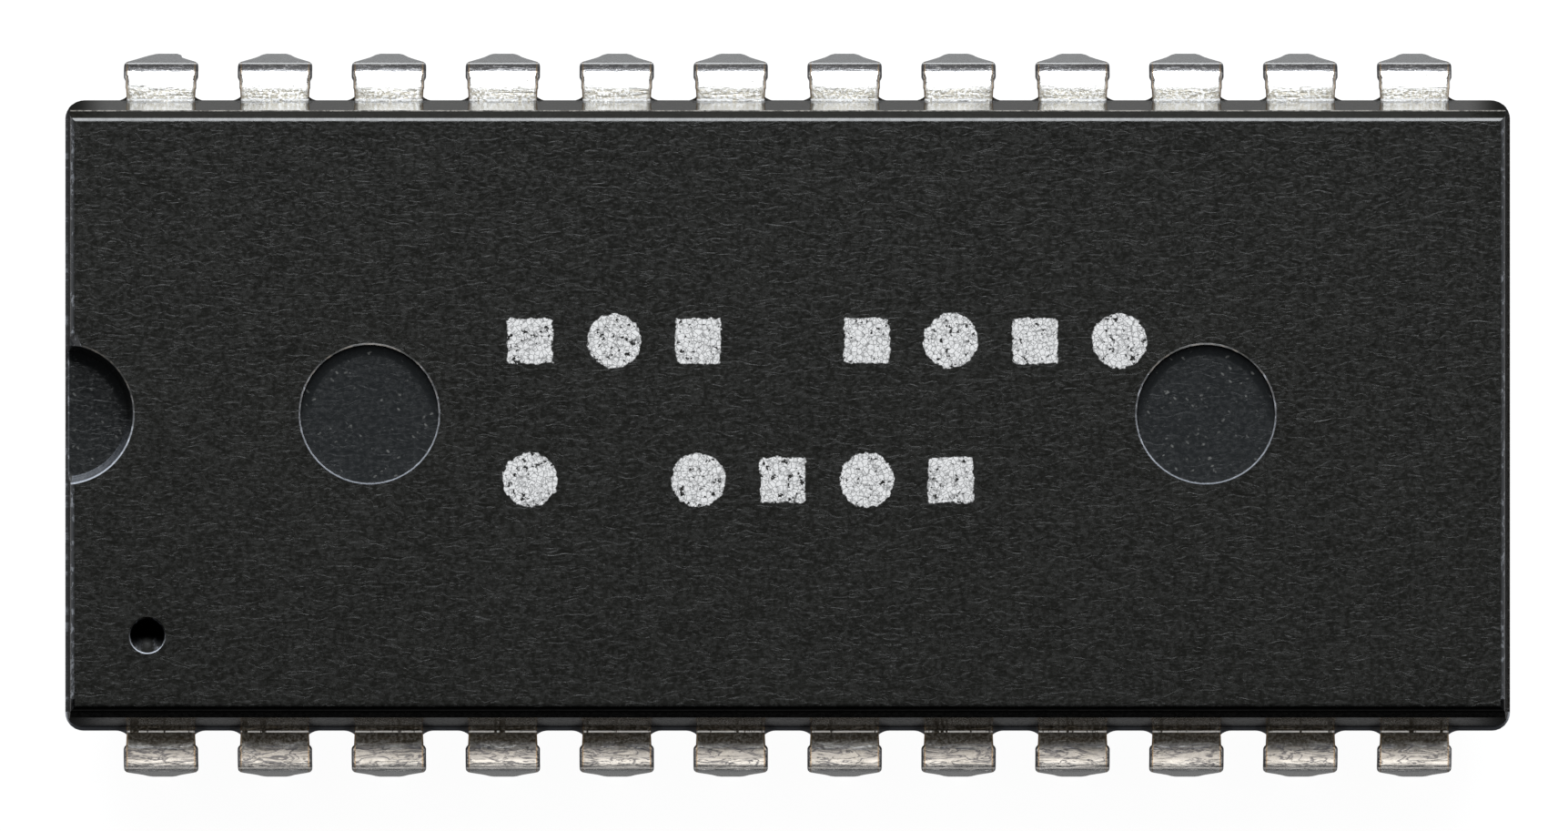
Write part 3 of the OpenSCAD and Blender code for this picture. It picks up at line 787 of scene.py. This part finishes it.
# Plain finishes of what the body holds
inner = {
    "leadFrame": {"bright": (0.78, 0.50, 0.34), "dull": (0.55, 0.32, 0.20), "metal": 1.0, "roughness": 0.32,
                  "grain": 6.0, "relief": 0.004},
    "dieGlue": {"bright": (0.60, 0.60, 0.57), "dull": (0.40, 0.40, 0.38), "metal": 0.0, "roughness": 0.55,
                "grain": 14.0, "relief": 0.006},
    "silicon": {"bright": (0.20, 0.22, 0.27), "dull": (0.10, 0.11, 0.15), "metal": 0.4, "roughness": 0.12,
                "grain": 9.0, "relief": 0.001},
    "goldWire": {"bright": (0.94, 0.70, 0.30), "dull": (0.76, 0.52, 0.20), "metal": 1.0, "roughness": 0.18,
                 "grain": 40.0, "relief": 0.0008},
}
innerGrain = {"detail": 4.0, "roughness": 0.6, "tones": (0.35, 0.65), "gloss": 0.2}
# The frame's tie bars were cut off at the end walls, where the cut is stained
tieBarCut = {"fromX": 15.8, "toX": 15.9, "colour": (0.020, 0.016, 0.012)}


def makeInner(name):
    finish = inner[name]
    material, tree, shader = newMaterial(name, Metallic=finish["metal"])
    position = millimetres(tree)
    grain = noise(tree, position, {"scale": finish["grain"], **innerGrain})
    tone = ramp(tree, grain, *innerGrain["tones"])
    colour = mixColour(tree, tone, finish["dull"], finish["bright"])
    alongBody = calc(tree, "ABSOLUTE", split(tree, position)["X"])
    cut = ramp(tree, alongBody, tieBarCut["fromX"], tieBarCut["toX"])
    tree.links.new(mixColour(tree, cut, colour, tieBarCut["colour"]), shader.inputs["Base Color"])
    gloss = innerGrain["gloss"]
    roughness = calc(tree, "MULTIPLY_ADD", grain, gloss, finish["roughness"] - gloss / 2)
    tree.links.new(roughness, shader.inputs["Roughness"])
    tree.links.new(bump(tree, grain, finish["relief"]), shader.inputs["Normal"])
    return material


def dress(node, material):
    node.data.materials.clear()
    node.data.materials.append(material)


epoxyMaterial = makeEpoxy()
tinMaterial = makeTin()
dress(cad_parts["body"], epoxyMaterial)
for name in leadNames:
    dress(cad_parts[name], tinMaterial)
for name, finish in (("die_pad", "leadFrame"), ("die_attach", "dieGlue"), ("die", "silicon")):
    dress(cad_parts[name], makeInner(finish))
goldMaterial = makeInner("goldWire")
for name in wireNames:
    dress(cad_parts[name], goldMaterial)
print("materials on", len(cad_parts), "nodes")


# Leads: one formed strip, extruded section by section, then copied to each place
leadShape = {
    "thickness": 0.25,
    "edge": 0.085,            # radius that the stamping leaves on the strip's edges
    "edgeSteps": 3,
    "smoothAngle": 38,
    "root": (6.90, 5.60),     # middle of the strip just inside the wall
    "exit": (7.02, 5.597),    # and where it leaves the wall
    "exitTurn": 2.0,
    "neckHalf": 0.76,
    "bendHalf": 0.79,
    "shoulderHalf": 0.83,
    "tipHalf": 0.23,
    "bendZ": 5.06,
    "bendRadius": 0.525,
    "bendStart": 4.0,
    "bendSteps": 26,
    "taperTop": 4.86,
    # trims that round the shoulder and the corner where the taper meets the tip, by height
    "trims": ((4.98, 0.004), (4.90, 0.022), (4.84, 0.034), (4.76, 0.034), (4.60, 0.034), (4.30, 0.042),
              (4.00, 0.036), (3.75, 0.010), (3.55, -0.022), (3.40, -0.034), (3.28, -0.020)),
    "kinkZ": 3.20,
    "kinkWider": 0.008,
    "uprightZ": 3.05,
    "chamferZ": 0.10,
    "chamferHalf": 0.13,
    "pitch": 2.54,
    "tipLean": 0.15,
    "leanBelow": (3.9, 3.6, 3.45, 3.24, 0.5),
    "weld": 0.0005,
}
# The two rows were formed a little apart: the rear one splays more. stubTurn is how far round the bend
# the stubs of the cut dam bar start, and where they are full
rows = {
    "rear": {"bendY": 7.235, "splay": 6.6, "kinkY": 7.9678, "stubTurn": (25, 40)},
    "front": {"bendY": 7.305, "splay": 3.4, "kinkY": 7.945, "stubTurn": (3, 14)},
}


# Middle of the strip, the way its face leans from level, and its half width, from the wall to the tip
def leadStations(row):
    shape = leadShape
    last = 90.0 - row["splay"]
    stations = [(*shape["root"], 0, shape["neckHalf"]),
                (*shape["exit"], shape["exitTurn"], shape["neckHalf"])]

    # round the bend, where the stubs widen it
    stubStart, stubFull = row["stubTurn"]
    for step in range(shape["bendSteps"] + 1):
        turn = shape["bendStart"] + (last - shape["bendStart"]) * step / shape["bendSteps"]
        angle = math.radians(turn)
        grown = min(max((turn - stubStart) / (stubFull - stubStart), 0), 1)
        grown = grown * grown * (3 - 2 * grown)
        half = shape["bendHalf"] + (shape["shoulderHalf"] - shape["bendHalf"]) * grown
        if step == 0:
            half = (shape["neckHalf"] + shape["bendHalf"]) / 2
        stations.append((row["bendY"] + shape["bendRadius"] * math.sin(angle),
                         shape["bendZ"] + shape["bendRadius"] * math.cos(angle), turn, half))

    # down the splayed leg and its taper
    topY, topZ = stations[-1][:2]
    kinkY, kinkZ = row["kinkY"], shape["kinkZ"]
    narrowing = (shape["shoulderHalf"] - shape["tipHalf"]) / (shape["taperTop"] - kinkZ)
    for z, trim in shape["trims"]:
        y = topY + (kinkY - topY) * (topZ - z) / (topZ - kinkZ)
        half = min(shape["shoulderHalf"], shape["tipHalf"] + narrowing * (z - kinkZ)) - trim
        stations.append((y, z, last, half))

    # upright tip with its chamfered end
    stations.append((kinkY, kinkZ, 90 - row["splay"] / 2, shape["tipHalf"] + shape["kinkWider"]))
    for z, half in ((shape["uprightZ"], shape["tipHalf"]), (shape["chamferZ"], shape["tipHalf"]),
                    (0.0, shape["chamferHalf"])):
        stations.append((kinkY, z, 90, half))
    return stations


def modelLead(row):
    stations = leadStations(row)
    y, z, turned, half = stations[0]
    bpy.ops.object.select_all(action="DESELECT")
    upright = (math.radians(90), 0, 0)
    bpy.ops.mesh.primitive_plane_add(size=1, location=(0, y * mm, z * mm), rotation=upright)
    lead = bpy.context.active_object
    lead.name = "formedStrip"
    lead.scale = (2 * half * mm, leadShape["thickness"] * mm, 1)
    bpy.ops.object.transform_apply(location=True, rotation=True, scale=True)
    bpy.ops.object.mode_set(mode="EDIT")
    bpy.ops.mesh.select_all(action="SELECT")
    bpy.ops.mesh.bevel(affect="VERTICES", offset=leadShape["edge"] * mm, offset_type="OFFSET",
                       segments=leadShape["edgeSteps"])
    bpy.ops.mesh.select_all(action="SELECT")
    for nextY, nextZ, turn, nextHalf in stations[1:]:
        bpy.ops.mesh.extrude_region_move(
            TRANSFORM_OT_translate={"value": (0, (nextY - y) * mm, (nextZ - z) * mm)})
        middle = (0, nextY * mm, nextZ * mm)
        bpy.ops.transform.rotate(value=math.radians(turn - turned), orient_axis="X", center_override=middle)
        bpy.ops.transform.resize(value=(nextHalf / half, 1, 1), center_override=middle)
        y, z, turned, half = nextY, nextZ, turn, nextHalf
    bpy.ops.mesh.select_all(action="SELECT")
    bpy.ops.mesh.normals_make_consistent(inside=False)
    bpy.ops.object.mode_set(mode="OBJECT")
    bpy.ops.object.shade_smooth_by_angle(angle=math.radians(leadShape["smoothAngle"]))
    return lead


# The flat finger that the body is moulded round: the node's own metal, cut off at the wall
def fingerInside(name):
    bpy.ops.object.select_all(action="DESELECT")
    finger = bpy.data.objects.new("finger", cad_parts[name].data.copy())
    bpy.context.scene.collection.objects.link(finger)
    finger.select_set(True)
    bpy.context.view_layer.objects.active = finger
    side = 1 if finger.data.vertices[0].co.y > 0 else -1
    bpy.ops.object.mode_set(mode="EDIT")
    bpy.ops.mesh.select_all(action="SELECT")
    bpy.ops.mesh.remove_doubles(threshold=leadShape["weld"] * mm)
    bpy.ops.mesh.bisect(plane_co=(0, side * leadShape["root"][0] * mm, 0), plane_no=(0, side, 0),
                        use_fill=True, clear_outer=True)
    bpy.ops.object.mode_set(mode="OBJECT")
    return finger


# One tip was pushed aside: each part below one of the heights moves by an equal share
def leanTip(lead):
    heights = leadShape["leanBelow"]
    for height in heights:
        bpy.ops.object.mode_set(mode="EDIT")
        bpy.ops.mesh.select_all(action="DESELECT")
        bpy.ops.object.mode_set(mode="OBJECT")
        for vertex in lead.data.vertices:
            vertex.select = vertex.co.z < height * mm
        bpy.ops.object.mode_set(mode="EDIT")
        bpy.ops.transform.translate(value=(leadShape["tipLean"] / len(heights) * mm, 0, 0))
        bpy.ops.object.mode_set(mode="OBJECT")


def placeLead(name, strips):
    number = int(name[-2:])
    perSide = len(leadNames) // 2
    rear = number > perSide
    place = 2 * perSide - number if rear else number - 1
    finger = fingerInside(name)
    bpy.ops.object.select_all(action="DESELECT")
    strip = strips["rear" if rear else "front"]
    lead = strip.copy()
    lead.data = strip.data.copy()
    lead.name = "formed_" + name
    bpy.context.scene.collection.objects.link(lead)
    lead.select_set(True)
    bpy.context.view_layer.objects.active = lead
    lead.rotation_euler.z = 0 if rear else math.pi
    lead.location.x = (place - (perSide - 1) / 2) * leadShape["pitch"] * mm
    bpy.ops.object.transform_apply(location=True, rotation=True, scale=True)
    if name == leadNames[-1]:
        leanTip(lead)
    finger.select_set(True)
    bpy.ops.object.join()
    dress(lead, tinMaterial)
    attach(lead, "root")
    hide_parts(name)
    return lead


strips = {name: modelLead(row) for name, row in rows.items()}
leads = [placeLead(name, strips) for name in leadNames]
for strip in strips.values():
    bpy.data.objects.remove(strip)
print("leads formed:", len(leads))


# Studio: a pale floor, one large soft light behind, weaker ones in front and at the ends
studio = {
    "floorSize": 3.0,
    "floorColour": (0.12, 0.12, 0.12),
    "floorLift": 0.97,      # what the camera sees on top of the light on the floor
    "mirroredFar": 0.42,    # what the glossy surfaces mirror of the open floor
    "mirroredFront": 0.16,  # and of the floor close to each row of leads
    "mirroredRear": 0.23,
    "mirroredDark": 0.02,   # and of the dark strips in front and at the ends
    "grain": {"scale": 8.0, "detail": 3.0, "range": (0.3, 0.7, 0.98, 1.0)},
    "middleY": 0.006,
    "closeX": (0.0174, 0.0184),
    "closeY": (0.023, 0.027),
    "litX": (0.0152, 0.0160),
    "litY": (-0.0155, -0.0125),
    "worldFades": (0.05, 0.6),      # from the edge to the top, by height
    "worldTop": (0.035, 0.037, 0.040),
    "worldEdge": (0.30, 0.31, 0.33),
}
# Each lamp aims at the body. Its turn is in degrees round from straight behind, and down from the zenith
lamps = {
    "softboxBehind": {"turn": (0, 48.5), "reach": 0.60, "size": (0.34, 0.92), "level": 6.2,
                      "colour": (0.93, 0.965, 1.0)},
    "fillInFront": {"turn": (180, 61), "reach": 0.60, "size": (0.60, 0.92), "level": 1.25,
                    "colour": (1.0, 0.93, 0.84)},
    "fillLeft": {"turn": (90, 66), "reach": 0.60, "size": (0.40, 1.10), "level": 1.0,
                 "colour": (1.0, 0.99, 0.97)},
    "fillRight": {"turn": (-90, 66), "reach": 0.60, "size": (0.40, 1.10), "level": 1.0,
                  "colour": (1.0, 0.99, 0.97)},
}


# What the glossy surfaces mirror: a pale floor with painted shade, dimmer close to the body, with dark
# strips in front of it and at its ends; the camera does not see this painted shade
def mirroredFloor(tree, position):
    axes = split(tree, position)
    along = calc(tree, "ABSOLUTE", axes["X"])
    across = calc(tree, "ABSOLUTE", axes["Y"])
    lit = product(tree, ramp(tree, axes["Y"], *studio["litY"]),
                  ramp(tree, along, *studio["litX"], 1.0, 0.0))
    close = ramp(tree, axes["Y"], -studio["middleY"], studio["middleY"], studio["mirroredFront"],
                 studio["mirroredRear"])
    close = calc(tree, "MULTIPLY_ADD", lit, calc(tree, "SUBTRACT", close, studio["mirroredDark"]),
                 studio["mirroredDark"])
    inside = product(tree, ramp(tree, across, *studio["closeY"], 1.0, 0.0),
                     ramp(tree, along, *studio["closeX"], 1.0, 0.0))
    return calc(tree, "MULTIPLY_ADD", inside, calc(tree, "SUBTRACT", close, studio["mirroredFar"]),
                studio["mirroredFar"])


def makeFloor():
    bpy.ops.object.select_all(action="DESELECT")
    bpy.ops.mesh.primitive_plane_add(size=studio["floorSize"])
    floor = bpy.context.active_object
    floor.name = "floor"
    material = bpy.data.materials.new("paleFloor")
    material.use_nodes = True
    tree = material.node_tree
    tree.nodes.remove(tree.nodes["Principled BSDF"])
    position = newNode(tree, "TexCoord").outputs["Object"]
    path = newNode(tree, "LightPath").outputs
    glossy = path["Is Glossy Ray"]
    notGlossy = calc(tree, "SUBTRACT", 1.0, glossy)
    matteColour = mixColour(tree, notGlossy, (0.0, 0.0, 0.0), studio["floorColour"])
    matte = newNode(tree, "BsdfDiffuse", {"Color": matteColour})
    tone = noise(tree, position, studio["grain"])
    direct = largest(tree, path["Is Camera Ray"], path["Is Transmission Ray"])
    seen = product(tree, direct, studio["floorLift"], tone)
    mirrored = product(tree, glossy, mirroredFloor(tree, position))
    glow = newNode(tree, "Emission", {"Strength": calc(tree, "ADD", seen, mirrored)})
    both = newNode(tree, "AddShader", {0: matte.outputs[0], 1: glow.outputs[0]})
    tree.links.new(both.outputs[0], tree.nodes["Material Output"].inputs["Surface"])
    dress(floor, material)


def makeWorld():
    world = bpy.data.worlds.new("studio")
    bpy.context.scene.world = world
    world.use_nodes = True
    tree = world.node_tree
    height = split(tree, newNode(tree, "TexCoord").outputs["Generated"])["Z"]
    share = ramp(tree, height, *studio["worldFades"])
    colour = mixColour(tree, share, studio["worldEdge"], studio["worldTop"])
    tree.links.new(colour, tree.nodes["Background"].inputs["Color"])


def makeLamp(name):
    lamp = lamps[name]
    data = bpy.data.lights.new(name, "AREA")
    data.shape = "RECTANGLE"
    data.size, data.size_y = lamp["size"]
    data.energy = lamp["level"] * math.pi * data.size * data.size_y
    data.color = lamp["colour"]
    around, tilt = (math.radians(angle) for angle in lamp["turn"])
    light = bpy.data.objects.new(name, data)
    aim = Vector((-math.sin(around) * math.sin(tilt), math.cos(around) * math.sin(tilt), math.cos(tilt)))
    light.location = aim * lamp["reach"] + Vector((0, 0, camera["planeZ"] * mm))
    light.rotation_euler = aim.to_track_quat("Z", "Y").to_euler()
    light.visible_camera = False
    bpy.context.scene.collection.objects.link(light)
    return light


makeFloor()
makeWorld()
lights = {name: makeLamp(name) for name in lamps}

# the weaker lamps are flagged off the body and light only the metal
metalOnly = bpy.data.collections.new("metalOnly")
for lead in leads:
    metalOnly.objects.link(lead)
for name in ("fillInFront", "fillLeft", "fillRight"):
    lights[name].light_linking.receiver_collection = metalOnly
print("studio lit by", len(lamps), "lamps")
